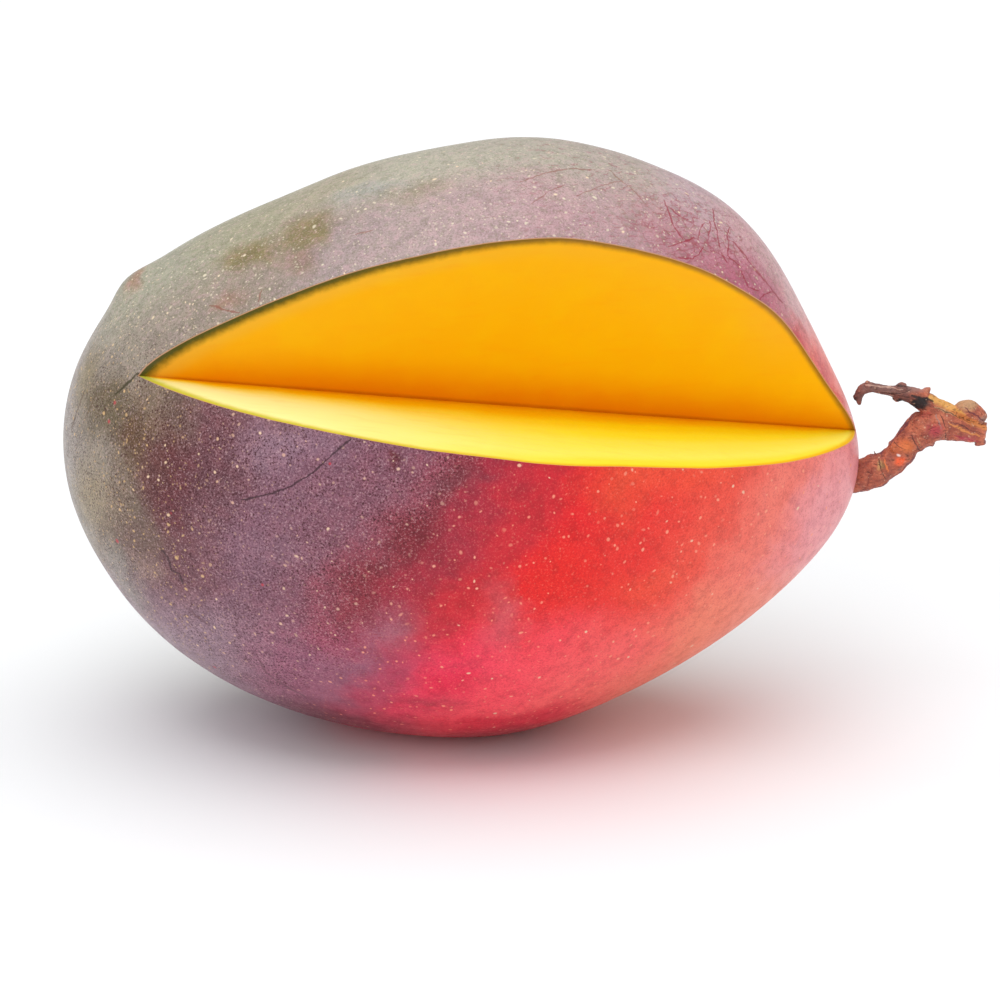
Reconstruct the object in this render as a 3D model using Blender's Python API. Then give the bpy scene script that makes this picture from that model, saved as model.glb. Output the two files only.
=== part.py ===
# A mango with a wedge cut out of its front, and the woody fork of stem it was picked with.
# Everything is drawn in millimetres round the middle of the fruit: +X runs along the fruit
# towards the stem, -Y faces the cut side and +Z is up. At the end an empty stands the whole
# part on z = 0, with the middle of its bounding box over the origin.

import bmesh
import bpy
from math import acos, atan2, cos, pi, radians, sin
from mathutils import Vector

MM = 0.001

# Fruit: radii of its upright outline, one every 15 degrees, starting at the stem end.
RADII_OVER_TOP = (61.9, 57.9, 56.7, 54.7, 50.9, 48.5, 46.2, 45.3, 46.1, 49.2, 54.9, 60.3, 62.5)
RADII_UNDERNEATH = (61.0, 57.8, 54.2, 50.9, 48.5, 47.7, 47.7, 48.1, 49.9, 54.5, 60.3)
OUTLINE_WAVES = 10
SKIN_SUBDIVISIONS = 5

# Its cross-sections are near-ellipses, as wide as this share of their height.
WIDTH_MEAN = 0.87
WIDTH_FULLER_FAR_END = 0.08
WIDTH_FULLER_MIDDLE = 0.03
WIDTH_SQUARENESS = 0.05

# The beak is a small blunt corner on the outline, high on the end away from the stem, and the
# skin swells a little round the stalk. Each has its angle on the outline, its rise and its reach.
BEAK = (radians(154), 1.5, 4.0)
STALK_SWELLING = (radians(-4), 0.7, 9.0)

# The fruit rests on a small flat spot, this far above the lowest point of the round skin.
REST_SPOT_DEPTH = 0.8

# Wedge: its inner edge runs through these two points, by the skin at either end of the fruit,
# and two flat faces open from it: one leans over towards the front, one falls towards it.
WEDGE_LEFT = Vector((-48.8, -21.5, 15.3))
WEDGE_RIGHT = Vector((61.7, -0.2, 1.8))
WEDGE_UPPER_LEAN = radians(27.0)
WEDGE_LOWER_FALL = radians(2.4)
WEDGE_REACH = 90.0

# Stem: points down the middle of each stretch, with the radius there.
STALK = (
    (Vector((59.9, 0.0, -7.4)), 2.05),
    (Vector((62.4, 0.0, -6.8)), 2.3),
    (Vector((64.7, -0.1, -5.9)), 2.5),
    (Vector((66.9, -0.2, -4.8)), 2.3),
    (Vector((68.9, -0.1, -3.1)), 2.15),
    (Vector((70.8, 0.1, -0.7)), 2.3),
    (Vector((72.9, 0.2, 1.1)), 2.75),
    (Vector((75.5, 0.2, 1.8)), 2.5),
    (Vector((78.6, 0.1, 1.3)), 2.0),
    (Vector((82.5, 0.0, 0.5)), 1.6),
)
TWIG = (
    (Vector((75.6, 0.2, 3.6)), 1.5),
    (Vector((73.6, 0.2, 5.1)), 1.7),
    (Vector((71.8, 0.0, 6.2)), 1.5),
    (Vector((69.9, -0.2, 7.0)), 1.25),
    (Vector((67.9, -0.3, 7.4)), 0.95),
    (Vector((65.9, -0.3, 7.7)), 0.75),
    (Vector((64.1, -0.2, 8.0)), 0.85),
    (Vector((62.8, -0.1, 7.3)), 0.75),
    (Vector((62.3, 0.0, 5.8)), 0.55),
)
BARE_WOOD = (
    (Vector((73.0, 0.4, 5.2)), 1.1),
    (Vector((75.6, 0.4, 4.5)), 1.2),
    (Vector((78.4, 0.3, 3.2)), 1.1),
    (Vector((81.4, 0.2, 1.6)), 0.9),
)
BUD_SCAR = (
    (Vector((78.0, 0.1, 3.9)), 1.0),
    (Vector((79.4, 0.1, 4.3)), 1.6),
    (Vector((80.9, 0.0, 3.6)), 1.45),
    (Vector((82.1, 0.0, 2.5)), 0.95),
)
STEM_SIDES = 14
STEM_RINGS_PER_STRETCH = 3

# The stalk's root sits in a socket in the fruit, clear of it all round.
SOCKET_CLEARANCE = 0.3

SKIN_COLOR = (0.50, 0.16, 0.16, 1.0)
FLESH_COLOR = (0.95, 0.46, 0.02, 1.0)
BARK_COLOR = (0.30, 0.10, 0.05, 1.0)


def new_material(name, color, roughness):
    material = bpy.data.materials.new(name)
    material.use_nodes = True
    shader = material.node_tree.nodes["Principled BSDF"]
    shader.inputs["Base Color"].default_value = color
    shader.inputs["Roughness"].default_value = roughness
    shader.inputs["Metallic"].default_value = 0.0
    material.diffuse_color = color
    return material


def outline_radius(angle):
    # A smooth closed curve through the outline radii: the sum of its first few waves.
    radii = RADII_OVER_TOP + RADII_UNDERNEATH
    count = len(radii)
    total = sum(radii) / count
    for wave in range(1, OUTLINE_WAVES + 1):
        for index, radius in enumerate(radii):
            total += 2 / count * radius * cos(wave * (angle - 2 * pi * index / count))
    return total


def skin_point(direction):
    # Where the skin lies in a direction from the middle of the fruit.
    along = acos(max(-1.0, min(1.0, direction.x)))
    around = atan2(direction.z, direction.y)
    top = Vector((cos(along), 0.0, sin(along))) * outline_radius(along)
    bottom = Vector((cos(along), 0.0, -sin(along))) * outline_radius(-along)
    middle = (top + bottom) / 2
    half_height = (top - bottom) / 2
    point = middle + half_height * sin(around)
    ratio = WIDTH_MEAN
    ratio -= WIDTH_FULLER_FAR_END * cos(along)
    ratio -= WIDTH_FULLER_MIDDLE * cos(2 * along)
    ratio *= 1 + WIDTH_SQUARENESS * sin(around) ** 2
    point.y = ratio * half_height.z * cos(around)
    return point


def swelling(point):
    # How far the beak and the swelling round the stalk raise the skin at a point.
    total = 0.0
    for angle, rise, reach in (BEAK, STALK_SWELLING):
        middle = Vector((cos(angle), 0.0, sin(angle))) * outline_radius(angle)
        total += rise * 2.0 ** -(((point - middle).length / reach) ** 2)
    return total


def make_skin_body():
    mesh = bmesh.new()
    bmesh.ops.create_icosphere(mesh, subdivisions=SKIN_SUBDIVISIONS, radius=1.0)
    for vertex in mesh.verts:
        point = skin_point(vertex.co.normalized())
        vertex.co = point + point.normalized() * swelling(point)
    cut_rest_spot(mesh)
    return mesh_object("mango_fruit", mesh)


def cut_rest_spot(mesh):
    height = min(vertex.co.z for vertex in mesh.verts) + REST_SPOT_DEPTH
    everything = mesh.verts[:] + mesh.edges[:] + mesh.faces[:]
    cut = bmesh.ops.bisect_plane(
        mesh,
        geom=everything,
        plane_co=(0.0, 0.0, height),
        plane_no=(0.0, 0.0, -1.0),
        clear_outer=True,
    )
    rim = [item for item in cut["geom_cut"] if isinstance(item, bmesh.types.BMEdge)]
    for edge in rim:
        for vertex in edge.verts:
            vertex.co.z = height
    bmesh.ops.contextual_create(mesh, geom=rim)
    bmesh.ops.recalc_face_normals(mesh, faces=mesh.faces)


def mesh_object(name, mesh):
    for vertex in mesh.verts:
        vertex.co *= MM
    data = bpy.data.meshes.new(name)
    mesh.to_mesh(data)
    mesh.free()
    made = bpy.data.objects.new(name, data)
    bpy.context.scene.collection.objects.link(made)
    return made


def swept_body(name, route, rings_per_stretch, clearance=0.0):
    # A closed round body along a smooth curve through the route's points.
    mesh = bmesh.new()
    stations = smooth_stations(route, rings_per_stretch)
    side = Vector((0.0, 1.0, 0.0))
    rings = []
    for index, (middle, radius) in enumerate(stations):
        before = stations[max(index - 1, 0)][0]
        after = stations[min(index + 1, len(stations) - 1)][0]
        along = (after - before).normalized()
        side = (side - along * side.dot(along)).normalized()
        up = along.cross(side)
        ring = []
        for corner in range(STEM_SIDES):
            turn = 2 * pi * corner / STEM_SIDES
            offset = (side * cos(turn) + up * sin(turn)) * (radius + clearance)
            ring.append(mesh.verts.new(middle + offset))
        rings.append(ring)
    for near, far in zip(rings, rings[1:]):
        for corner in range(STEM_SIDES):
            following = (corner + 1) % STEM_SIDES
            mesh.faces.new((near[corner], near[following], far[following], far[corner]))
    mesh.faces.new(list(reversed(rings[0])))
    mesh.faces.new(rings[-1])
    bmesh.ops.recalc_face_normals(mesh, faces=mesh.faces)
    return mesh_object(name, mesh)


def smooth_stations(route, rings_per_stretch):
    stations = []
    last = len(route) - 1
    for index in range(last):
        around = [route[max(index - 1, 0)], route[index]]
        around += [route[index + 1], route[min(index + 2, last)]]
        for step in range(rings_per_stretch):
            share = step / rings_per_stretch
            middle = curve_between([point for point, _ in around], share)
            radius = curve_between([radius for _, radius in around], share)
            stations.append((middle, radius))
    stations.append(route[last])
    return stations


def curve_between(values, share):
    # Catmull-Rom curve from the second value to the third.
    before, start, end, after = values
    bend = (before * -1 + start * 3 - end * 3 + after) * share ** 3
    lean = (before * 2 - start * 5 + end * 4 - after) * share ** 2
    rise = (end - before) * share
    return start + (bend + lean + rise) * 0.5


def make_wedge_cutter():
    # A long prism whose inner edge is the wedge's, and whose two faces are the cut faces.
    along = (WEDGE_RIGHT - WEDGE_LEFT).normalized()
    up = Vector((0.0, 0.0, 1.0))
    up = (up - along * up.dot(along)).normalized()
    front = up.cross(along)
    if front.y > 0:
        front.negate()
    upper = up * cos(WEDGE_UPPER_LEAN) + front * sin(WEDGE_UPPER_LEAN)
    lower = front * cos(WEDGE_LOWER_FALL) - up * sin(WEDGE_LOWER_FALL)
    mesh = bmesh.new()
    rings = []
    for end in (WEDGE_LEFT - along * WEDGE_REACH, WEDGE_RIGHT + along * WEDGE_REACH):
        corners = (end, end + upper * WEDGE_REACH, end + lower * WEDGE_REACH)
        rings.append([mesh.verts.new(corner) for corner in corners])
    near, far = rings
    for corner in range(3):
        following = (corner + 1) % 3
        mesh.faces.new((near[corner], near[following], far[following], far[corner]))
    mesh.faces.new(list(reversed(near)))
    mesh.faces.new(far)
    bmesh.ops.recalc_face_normals(mesh, faces=mesh.faces)
    return mesh_object("wedge_cutter", mesh)


def make_socket_cutter():
    root, root_radius = STALK[0]
    skin, skin_radius = STALK[1]
    along = (skin - root).normalized()
    inner = (root - along * SOCKET_CLEARANCE, root_radius)
    outer = (skin + along * root_radius, skin_radius)
    return swept_body("socket_cutter", (inner, (skin, skin_radius), outer), 1, SOCKET_CLEARANCE)


def add_boolean(target, tool, operation):
    boolean = target.modifiers.new(tool.name, "BOOLEAN")
    boolean.operation = operation
    boolean.object = tool
    tool.hide_render = True
    tool.display_type = "WIRE"


def make_fruit():
    fruit = make_skin_body()
    fruit.data.materials.append(new_material("mango_skin", SKIN_COLOR, 0.45))
    fruit.data.shade_smooth()
    wedge = make_wedge_cutter()
    wedge.data.materials.append(new_material("mango_flesh", FLESH_COLOR, 0.3))
    add_boolean(fruit, wedge, "DIFFERENCE")
    add_boolean(fruit, make_socket_cutter(), "DIFFERENCE")
    return fruit


def make_stem():
    stem = swept_body("mango_stem", STALK, STEM_RINGS_PER_STRETCH)
    stem.data.materials.append(new_material("mango_bark", BARK_COLOR, 0.75))
    for name, route in (("twig", TWIG), ("bare_wood", BARE_WOOD), ("bud_scar", BUD_SCAR)):
        add_boolean(stem, swept_body(name, route, STEM_RINGS_PER_STRETCH), "UNION")
    return stem


def stand_on_origin(pieces):
    # Parents the pieces and their cutters to one empty, which centres the part over z = 0.
    depsgraph = bpy.context.evaluated_depsgraph_get()
    corners = []
    for piece in pieces:
        shape = piece.evaluated_get(depsgraph).to_mesh()
        corners += [vertex.co.copy() for vertex in shape.vertices]
    low = Vector(min(corner[axis] for corner in corners) for axis in range(3))
    high = Vector(max(corner[axis] for corner in corners) for axis in range(3))
    stand = bpy.data.objects.new("mango", None)
    bpy.context.scene.collection.objects.link(stand)
    stand.location = -Vector(((low.x + high.x) / 2, (low.y + high.y) / 2, low.z))
    for made in bpy.context.scene.objects:
        if made != stand:
            made.parent = stand


for old in list(bpy.data.objects):
    bpy.data.objects.remove(old, do_unlink=True)

stand_on_origin([make_fruit(), make_stem()])
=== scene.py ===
from math import cos, exp, pi, radians, sin

import bpy
import numpy as np
from mathutils import Euler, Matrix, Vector, noise
from mathutils.bvhtree import BVHTree


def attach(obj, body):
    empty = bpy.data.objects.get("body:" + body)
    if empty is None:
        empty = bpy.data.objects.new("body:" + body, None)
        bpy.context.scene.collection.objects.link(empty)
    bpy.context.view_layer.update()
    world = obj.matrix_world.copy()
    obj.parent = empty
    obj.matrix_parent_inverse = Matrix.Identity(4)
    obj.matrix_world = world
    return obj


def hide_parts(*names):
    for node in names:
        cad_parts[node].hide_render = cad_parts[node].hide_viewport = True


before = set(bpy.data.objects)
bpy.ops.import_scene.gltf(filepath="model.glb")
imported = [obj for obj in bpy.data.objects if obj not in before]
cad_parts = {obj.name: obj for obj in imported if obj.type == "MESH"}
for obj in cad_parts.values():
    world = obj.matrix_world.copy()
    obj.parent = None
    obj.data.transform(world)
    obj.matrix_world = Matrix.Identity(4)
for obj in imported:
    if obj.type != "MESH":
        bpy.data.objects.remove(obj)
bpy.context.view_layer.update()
print("frame loaded")

mm = 0.001
fruitMiddle = Vector((-10.153, 0.0, 46.844))  # millimetres, in the part's own frame


def deselectAll():
    if bpy.context.object and bpy.context.object.mode != "OBJECT":
        bpy.ops.object.mode_set(mode="OBJECT")
    bpy.ops.object.select_all(action="DESELECT")


def pick(thing, *others):
    deselectAll()
    for each in (thing, *others):
        each.select_set(True)
    bpy.context.view_layer.objects.active = thing


def newest(name):
    made = bpy.context.object
    made.name = made.data.name = name
    return made


def placed(name, data):
    made = bpy.data.objects.new(name, data)
    bpy.context.scene.collection.objects.link(made)
    return made


def editMesh(thing, operator, **settings):
    pick(thing)
    bpy.ops.object.mode_set(mode="EDIT")
    bpy.ops.mesh.select_all(action="SELECT")
    operator(**settings)
    bpy.ops.object.mode_set(mode="OBJECT")


def applyModifier(thing, kind, **settings):
    pick(thing)
    modifier = thing.modifiers.new(kind.lower(), kind)
    for setting, value in settings.items():
        setattr(modifier, setting, value)
    bpy.ops.object.modifier_apply(modifier=modifier.name)


def remove(*things):
    for thing in things:
        bpy.data.objects.remove(thing, do_unlink=True)


def valuesOf(thing, name):
    values = np.zeros(len(thing.data.vertices) * 3)
    thing.data.vertices.foreach_get(name, values)
    return values.reshape(-1, 3)


def movePoints(thing, places):
    thing.data.vertices.foreach_set("co", np.ascontiguousarray(places, dtype=float).ravel())
    thing.data.update()


def curveBetween(values, share):
    # A Catmull-Rom curve from the second value to the third.
    before, start, end, after = values
    bend = (start * 3 - before - end * 3 + after) * share ** 3
    lean = (before * 2 - start * 5 + end * 4 - after) * share ** 2
    return start + (bend + lean + (end - before) * share) * 0.5


def loft(name, rings):
    # A closed body through rings of points, all of the same count, given in millimetres
    # round the middle of the fruit.
    count = len(rings[0])
    points = [(point + fruitMiddle) * mm for ring in rings for point in ring]
    faces = [tuple(reversed(range(count)))]
    for near in range(len(rings) - 1):
        for corner in range(count):
            following = (corner + 1) % count
            faces.append((near * count + corner, near * count + following,
                          (near + 1) * count + following, (near + 1) * count + corner))
    faces.append(tuple(range((len(rings) - 1) * count, len(rings) * count)))
    mesh = bpy.data.meshes.new(name)
    mesh.from_pydata(points, [], faces)
    body = placed(name, mesh)
    editMesh(body, bpy.ops.mesh.normals_make_consistent, inside=False)
    return body


def tint(code):
    # A colour as a painter's six-digit code, turned into Blender's linear values.
    shares = [int(code[place:place + 2], 16) / 255 for place in (0, 2, 4)]
    return (*[share / 12.92 if share <= 0.04045 else ((share + 0.055) / 1.055) ** 2.4
              for share in shares], 1.0)


def addNode(tree, kind, inputs, **settings):
    # Among the inputs, text is a colour's code.
    node = tree.nodes.new("ShaderNode" + kind)
    for setting, value in settings.items():
        setattr(node, setting, value)
    for name, value in inputs.items():
        if isinstance(value, bpy.types.NodeSocket):
            tree.links.new(value, node.inputs[name])
        else:
            node.inputs[name].default_value = tint(value) if isinstance(value, str) else value
    return node


def nextNode(kind, inputs, **settings):
    # A node in the tree that its first linked input comes from.
    tree = next(value.id_data for value in inputs.values() if isinstance(value, bpy.types.NodeSocket))
    return addNode(tree, kind, inputs, **settings)


def maths(operation, *values, clamp=False):
    inputs = dict(enumerate(values))
    return nextNode("Math", inputs, operation=operation, use_clamp=clamp).outputs[0]


def plus(one, other, clamp=False):
    return maths("ADD", one, other, clamp=clamp)


def minus(one, other):
    return maths("SUBTRACT", one, other)


def times(value, *others):
    for other in others:
        value = maths("MULTIPLY", value, other)
    return value


def vectorMaths(operation, *values, output=0):
    return nextNode("VectorMath", dict(enumerate(values)), operation=operation).outputs[output]


def dot(one, other):
    return vectorMaths("DOT_PRODUCT", one, other, output=1)


def scaled(vector, amount):
    return nextNode("VectorMath", {0: vector, "Scale": amount}, operation="SCALE").outputs[0]


def partsOf(vector):
    return nextNode("SeparateXYZ", {"Vector": vector}).outputs


def stretched(place, scale, turn=0.0):
    # The place, turned about Y by so many degrees and scaled along each axis.
    return nextNode("Mapping", {"Vector": place, "Rotation": (0.0, radians(turn), 0.0),
                                "Scale": scale}).outputs[0]


def blend(amount, under, over, mode="MIX"):
    return nextNode("Mix", {0: amount, 6: under, 7: over}, data_type="RGBA",
                    blend_type=mode, clamp_factor=True).outputs[2]


def ease(value, start, end, low=0.0, high=1.0):
    # A smooth step: low before start, high after end.
    return nextNode("MapRange", dict(enumerate((value, start, end, low, high))),
                    interpolation_type="SMOOTHSTEP").outputs["Result"]


def rampOf(share, stops):
    # A run of colours, each with its share of the way.
    ramp = nextNode("ValToRGB", {"Fac": share})
    ramp.color_ramp.interpolation = "EASE"
    elements = ramp.color_ramp.elements
    elements.remove(elements[1])
    for index, (position, code) in enumerate(stops):
        element = elements[0] if index == 0 else elements.new(position)
        element.position = position
        element.color = tint(code)
    return ramp.outputs["Color"]


def noiseOf(place, scale, detail=2.0, output="Fac", **more):
    return nextNode("TexNoise", {"Vector": place, "Scale": scale, "Detail": detail,
                                 **more}).outputs[output]


def newGroup(name, vectors, numbers, **outputs):
    # The names of the inputs have spaces between them: the vectors, then the numbers.
    group = bpy.data.node_groups.new(name, "ShaderNodeTree")
    kinds = [(socket, "INPUT", "Vector") for socket in vectors.split()]
    kinds += [(socket, "INPUT", "Float") for socket in numbers.split()]
    kinds += [(socket, "OUTPUT", kind) for socket, kind in outputs.items()]
    for socket, way, kind in kinds:
        group.interface.new_socket(socket, in_out=way, socket_type="NodeSocket" + kind)
    given = group.nodes.new("NodeGroupInput").outputs
    return group, given, group.nodes.new("NodeGroupOutput").inputs


def useGroup(group, *values):
    return nextNode("Group", dict(enumerate(values)), node_tree=group).outputs


def makeSoftPatch():
    # A rounded patch round a centre that fades out at its reach.
    group, given, made = newGroup("softPatch", "Place Centre Reach", "Core", Mask="Float")
    offset = vectorMaths("SUBTRACT", given["Place"], given["Centre"])
    offset = vectorMaths("DIVIDE", offset, given["Reach"])
    distance = vectorMaths("LENGTH", offset, output=1)
    group.links.new(ease(distance, 1.0, given["Core"]), made["Mask"])
    return group


def makeSpecks():
    # Small round spots at odd distances, each of its own size.
    group, given, made = newGroup("specks", "Place", "Spacing Size Share", Mask="Float", Tone="Float")
    scale = maths("DIVIDE", 1.0, given["Spacing"])
    cells = nextNode("TexVoronoi", {"Vector": given["Place"], "Scale": scale})
    distance = times(cells.outputs["Distance"], given["Spacing"])
    parts = nextNode("SeparateColor", {"Color": cells.outputs["Color"]}).outputs
    size = times(given["Size"], ease(parts[0], 0.0, 1.0, 0.65, 1.3))
    spot = ease(maths("DIVIDE", distance, size), 1.0, 0.45)
    kept = maths("LESS_THAN", parts[1], given["Share"])
    group.links.new(times(spot, kept), made["Mask"])
    group.links.new(parts[2], made["Tone"])
    return group


def makeScratch():
    # A thin mark from a start to an end, thinning out towards both.
    group, given, made = newGroup("scratch", "Place Start End", "Width", Mask="Float")
    run = vectorMaths("SUBTRACT", given["End"], given["Start"])
    offset = vectorMaths("SUBTRACT", given["Place"], given["Start"])
    share = maths("DIVIDE", dot(offset, run), dot(run, run))
    share = maths("MINIMUM", maths("MAXIMUM", share, 0.0), 1.0)
    distance = vectorMaths("DISTANCE", offset, scaled(run, share), output=1)
    fromMiddle = maths("ABSOLUTE", minus(share, 0.5))
    width = times(given["Width"], minus(1.0, fromMiddle))
    group.links.new(ease(maths("DIVIDE", distance, width), 1.0, 0.3), made["Mask"])
    return group


softPatch, specks, scratch = makeSoftPatch(), makeSpecks(), makeScratch()


def newMaterial(name, **constants):
    made = bpy.data.materials.new(name)
    made.use_nodes = True
    shader = made.node_tree.nodes["Principled BSDF"]
    for socket, value in constants.items():
        shader.inputs[socket.replace("_", " ")].default_value = value
    return made, made.node_tree, shader.inputs


def placeInMillimetres(tree):
    seat = addNode(tree, "TexCoord", {}).outputs["Object"]
    return nextNode("Mapping", {"Vector": seat, "Location": -fruitMiddle,
                                "Scale": (1 / mm,) * 3}).outputs["Vector"]


def wander(place, scale, amount, detail=2.0):
    # The same place, moved about a little, so that edges run unevenly.
    stray = noiseOf(place, scale, detail, output="Color")
    stray = vectorMaths("SUBTRACT", stray, (0.5, 0.5, 0.5))
    return vectorMaths("ADD", place, scaled(stray, amount))


def paintPatches(place, colour, patches, palette):
    for centre, reach, core, strength, name in patches:
        mask = times(useGroup(softPatch, place, centre, reach, core)[0], strength)
        colour = blend(mask, colour, palette[name])
    return colour


def finish(shader, colour, rough, height, strength, rise):
    # The relief is so many millimetres deep where the height is one.
    bump = nextNode("Bump", {"Height": height, "Strength": strength, "Distance": rise * mm})
    for name, value in (("Base Color", colour), ("Roughness", rough), ("Normal", bump.outputs[0])):
        value.id_data.links.new(value, shader[name])


# The camera looks at the cut side from a little above, and off the middle of its frame.
view = {
    "elevation": radians(16.0),
    "distance": 0.7,
    "lens": 160.0,
    "shift": (0.039, -0.064),
}


def makeCamera():
    data = bpy.data.cameras.new("camera")
    data.lens = view["lens"]
    data.shift_x, data.shift_y = view["shift"]
    camera = placed("camera", data)
    up = view["elevation"]
    camera.location = fruitMiddle * mm + Vector((0, -cos(up), sin(up))) * view["distance"]
    camera.rotation_euler = Euler((pi / 2 - up, 0, 0))
    bpy.context.scene.camera = camera


makeCamera()
print("camera placed")

# The fruit's outline is given by its radii, one every 15 degrees from the stem end, over the
# top and back underneath. The other values fill out its cross-sections.
fruit = {
    "radii": (61.9, 58.1, 56.8, 54.7, 51.4, 48.7, 46.2, 45.2, 46.0, 49.2, 55.0, 60.3, 62.5,
              61.1, 57.7, 54.0, 50.6, 48.4, 47.7, 47.7, 48.2, 50.4, 54.8, 60.3),
    "waves": 10,
    "widthMean": 0.87,
    "fullerFarEnd": 0.08,
    "fullerMiddle": 0.03,
    "squareness": 0.05,
    "beak": (radians(154), 1.5, 4.0),  # angle on the outline, rise and reach
    "stalkSwelling": (radians(-4), 0.7, 9.0),
    "restHeight": -46.844,
    "skinThickness": 0.8,
    "outerDivisions": 7,
    "innerDivisions": 6,
    "undulation": 0.22,  # how far the skin rises and falls
    "undulationLength": 0.014,  # in metres
    "smoothAngle": radians(35),
}


def outlineRadius(angle):
    radii = fruit["radii"]
    count = len(radii)
    total = np.full_like(angle, sum(radii) / count)
    for wave in range(1, fruit["waves"] + 1):
        for place, radius in enumerate(radii):
            total += 2 / count * radius * np.cos(wave * (angle - 2 * pi * place / count))
    return total


def skinPoints(directions):
    # Where the skin lies in each direction from the middle of the fruit.
    along = np.arccos(np.clip(directions[:, 0], -1.0, 1.0))
    around = np.arctan2(directions[:, 2], directions[:, 1])
    overTop, underneath = outlineRadius(along), outlineRadius(-along)
    topX, topZ = overTop * np.cos(along), overTop * np.sin(along)
    lowX, lowZ = underneath * np.cos(along), -underneath * np.sin(along)
    halfX, halfZ = (topX - lowX) / 2, (topZ - lowZ) / 2
    ratio = fruit["widthMean"] - fruit["fullerFarEnd"] * np.cos(along)
    ratio -= fruit["fullerMiddle"] * np.cos(2 * along)
    ratio *= 1 + fruit["squareness"] * np.sin(around) ** 2
    points = np.stack(((topX + lowX) / 2 + halfX * np.sin(around),
                       ratio * halfZ * np.cos(around),
                       (topZ + lowZ) / 2 + halfZ * np.sin(around)), axis=-1)
    lift = np.zeros(len(points))
    for angle, rise, reach in (fruit["beak"], fruit["stalkSwelling"]):
        radius = outlineRadius(np.array([angle]))[0]
        middle = np.array((cos(angle), 0.0, sin(angle))) * radius
        lift += rise * 2.0 ** -((np.linalg.norm(points - middle, axis=1) / reach) ** 2)
    outward = points / np.linalg.norm(points, axis=1, keepdims=True)
    return points + outward * lift[:, None]


def makeFruitBody(name, divisions, inset):
    deselectAll()
    bpy.ops.mesh.primitive_ico_sphere_add(subdivisions=divisions, radius=1.0)
    body = newest(name)
    directions = valuesOf(body, "co")
    directions /= np.linalg.norm(directions, axis=1, keepdims=True)
    points = skinPoints(directions)
    points += np.array(fruitMiddle)
    movePoints(body, points * mm)
    if inset:
        points -= valuesOf(body, "normal") * inset
        movePoints(body, points * mm)
    else:
        waves = bpy.data.textures.new("undulation", "CLOUDS")
        waves.noise_scale = fruit["undulationLength"]
        waves.noise_depth = 1
        applyModifier(body, "DISPLACE", texture=waves, strength=fruit["undulation"] * mm, mid_level=0.5)
    places = valuesOf(body, "co")
    floor = (fruit["restHeight"] + fruitMiddle.z + inset) * mm
    places[:, 2] = np.maximum(places[:, 2], floor)
    movePoints(body, places)
    pick(body)
    bpy.ops.object.shade_smooth()
    return body


# The wedge opens from an inner edge through two points, by the skin at either end.
wedge = {
    "left": Vector((-48.95, -20.7, 15.45)),
    "right": Vector((61.6, -0.6, 1.15)),
    "sag": 0.3,  # how far the inner edge hangs below a straight line
    # degrees that the upper face leans out and the lower one falls, at even steps from the left
    "step": 10.0,
    "upperLeans": (26, 26, 26.5, 27, 27, 27, 26.5, 26.5, 27.5, 28.5, 28.5, 38, 45),
    "lowerFalls": (4, 2.5, 1.5, 1, 1, 1, 1.5, 1.5, 2, 3, 5, 6, 7),
    "tuck": (20.0, 2.2),  # degrees less by the left end, and how soon that is gone
    "overhang": 26.0,  # how far the knife's path runs past either end of the edge
    "reach": 80.0,
    "cell": 1.1,
    "middle": 55.0,
    "firmEdge": 6.0,  # the faces stray from flat only past this distance from the edge
    "sway": (0.16, 0.07),  # how far, and how often to the millimetre
    "chatter": (0.05, 0.25),
    "seedStep": 17.0,  # sets the two faces' straying apart
}


def wedgeAxes():
    along = (wedge["right"] - wedge["left"]).normalized()
    up = Vector((0, 0, 1))
    up = (up - along * up.dot(along)).normalized()
    front = up.cross(along)
    if front.y > 0:
        front.negate()
    return along, up, front


def wedgeFaces(distance):
    # Which way the two faces run out from the inner edge, so far from its left end.
    along, up, front = wedgeAxes()
    turns = []
    for values in (wedge["upperLeans"], wedge["lowerFalls"]):
        place = min(max(distance / wedge["step"], 0.0), len(values) - 1.001)
        near = int(place)
        around = [values[max(0, min(len(values) - 1, near + step))] for step in (-1, 0, 1, 2)]
        turns.append(radians(curveBetween(around, place - near)))
    lean, fall = turns
    less, soon = wedge["tuck"]
    lean -= radians(less) * exp(-max(distance, 0.0) / soon)
    return up * cos(lean) + front * sin(lean), front * cos(fall) - up * sin(fall)


def makeWedge():
    # Each ring runs down the upper face to the inner edge and out along the lower one.
    along, up, front = wedgeAxes()
    span = (wedge["right"] - wedge["left"]).length
    length = span + 2 * wedge["overhang"]
    stations = int(length / wedge["cell"])
    steps = int(wedge["reach"] / wedge["cell"])
    (sway, swayPitch), (chatter, chatterPitch) = wedge["sway"], wedge["chatter"]
    rings = []
    for station in range(stations + 1):
        distance = length * station / stations - wedge["overhang"]
        sag = wedge["sag"] * sin(pi * min(max(distance / span, 0.0), 1.0))
        start = wedge["left"] + along * distance - up * sag
        sides = []
        for seed, outwards in enumerate(wedgeFaces(distance)):
            across = (along.cross(outwards) if seed else outwards.cross(along)).normalized()
            row = []
            for step in range(1, steps + 1):
                out = wedge["reach"] * step / steps
                point = start + outwards * out
                shift = Vector((wedge["seedStep"] * seed, 0, 0))
                stray = noise.noise(point * swayPitch + shift) * sway
                stray += noise.noise(point * chatterPitch) * chatter
                row.append(point + across * stray * min(1.0, out / wedge["firmEdge"]))
            sides.append(row)
        rings.append(list(reversed(sides[0])) + [start] + sides[1])
    return loft("wedge", rings)


def cut(body, tool):
    applyModifier(body, "BOOLEAN", operation="DIFFERENCE", object=tool, solver="EXACT")


def measureDepth(body, skinTree):
    # How far under the uncut skin each point lies, in millimetres, for the rim's colours.
    depths = [skinTree.find_nearest(vertex.co)[3] / mm for vertex in body.data.vertices]
    depth = body.data.attributes.new("underSkin", "FLOAT", "POINT")
    depth.data.foreach_set("value", depths)


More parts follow.
